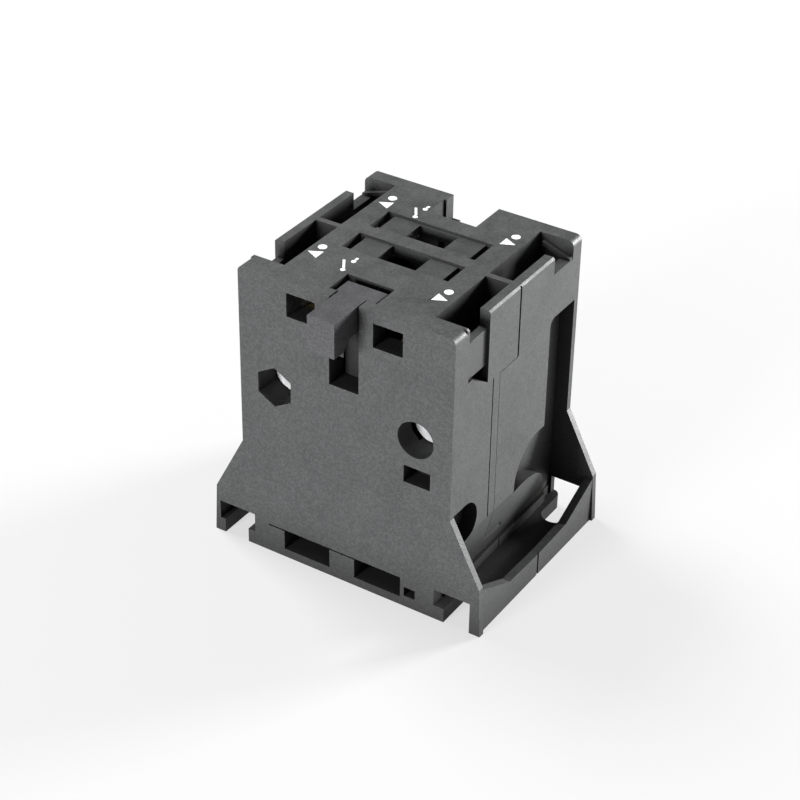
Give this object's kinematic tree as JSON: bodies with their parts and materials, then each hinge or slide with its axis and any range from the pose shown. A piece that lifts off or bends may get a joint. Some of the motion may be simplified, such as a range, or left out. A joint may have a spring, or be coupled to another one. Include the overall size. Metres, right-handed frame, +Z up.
{
  "type": "mechanical interlock block",
  "caption": "Dark plastic block that fits between neighbouring contactors; hooked levers on its end plates and a rocker inside let only one contactor close, and each lever carries a contact bridge.",
  "frame": {"origin": "centre of the base, on the mounting plane", "axes": "+Z up, away from the mounting plane; -Y through the front end plate and its lever; +X to the right seen from the front"},
  "size_m": [0.059, 0.0576, 0.0605],
  "materials": {
    "housing": "fine moulded satin",
    "lever": "fine moulded satin",
    "rocker": "dark acetal",
    "zinc_steel": "zinc plated, satin",
    "spring_steel": "drawn wire",
    "contact_brass": "rolled strip, satin",
    "contact_silver": "satin silver"
  },
  "bodies": {
    "housing": {"front_housing": "housing", "rear_housing": "housing", "rocker_pin": "zinc_steel", "front_left_terminal": "contact_brass", "front_right_terminal": "contact_brass", "rear_left_terminal": "contact_brass", "rear_right_terminal": "contact_brass", "fixed_tips": "contact_silver", "terminal_screws": "zinc_steel", "clamp_washers": "zinc_steel", "housing_screws": "zinc_steel", "housing_nuts": "zinc_steel"},
    "front_lever": {"front_lever": "lever", "front_bridge": "contact_brass", "front_bridge_tips": "contact_silver", "front_contact_spring": "spring_steel"},
    "rear_lever": {"rear_lever": "lever", "rear_bridge": "contact_brass", "rear_bridge_tips": "contact_silver", "rear_contact_spring": "spring_steel"},
    "rocker": {"rocker": "rocker"}
  },
  "joints": [
    {"name": "front_lever_slide", "type": "slide", "parent": "housing", "child": "front_lever", "axis": [0, 0, -1], "range_m": [0, 0.01]},
    {"name": "rear_lever_slide", "type": "slide", "parent": "housing", "child": "rear_lever", "axis": [0, 0, 1], "range_m": [0, 0.01]},
    {"name": "rocker_hinge", "type": "hinge", "parent": "housing", "child": "rocker", "pos_m": [0, 0, 0.03], "axis": [1, 0, 0], "range_deg": [0, 48.9]}
  ],
  "couplings": [
    {"joint": "rear_lever_slide", "follows": "front_lever_slide", "ratio": 1},
    {"joint": "rocker_hinge", "follows": "front_lever_slide", "rad_per_m": 85.326}
  ]
}
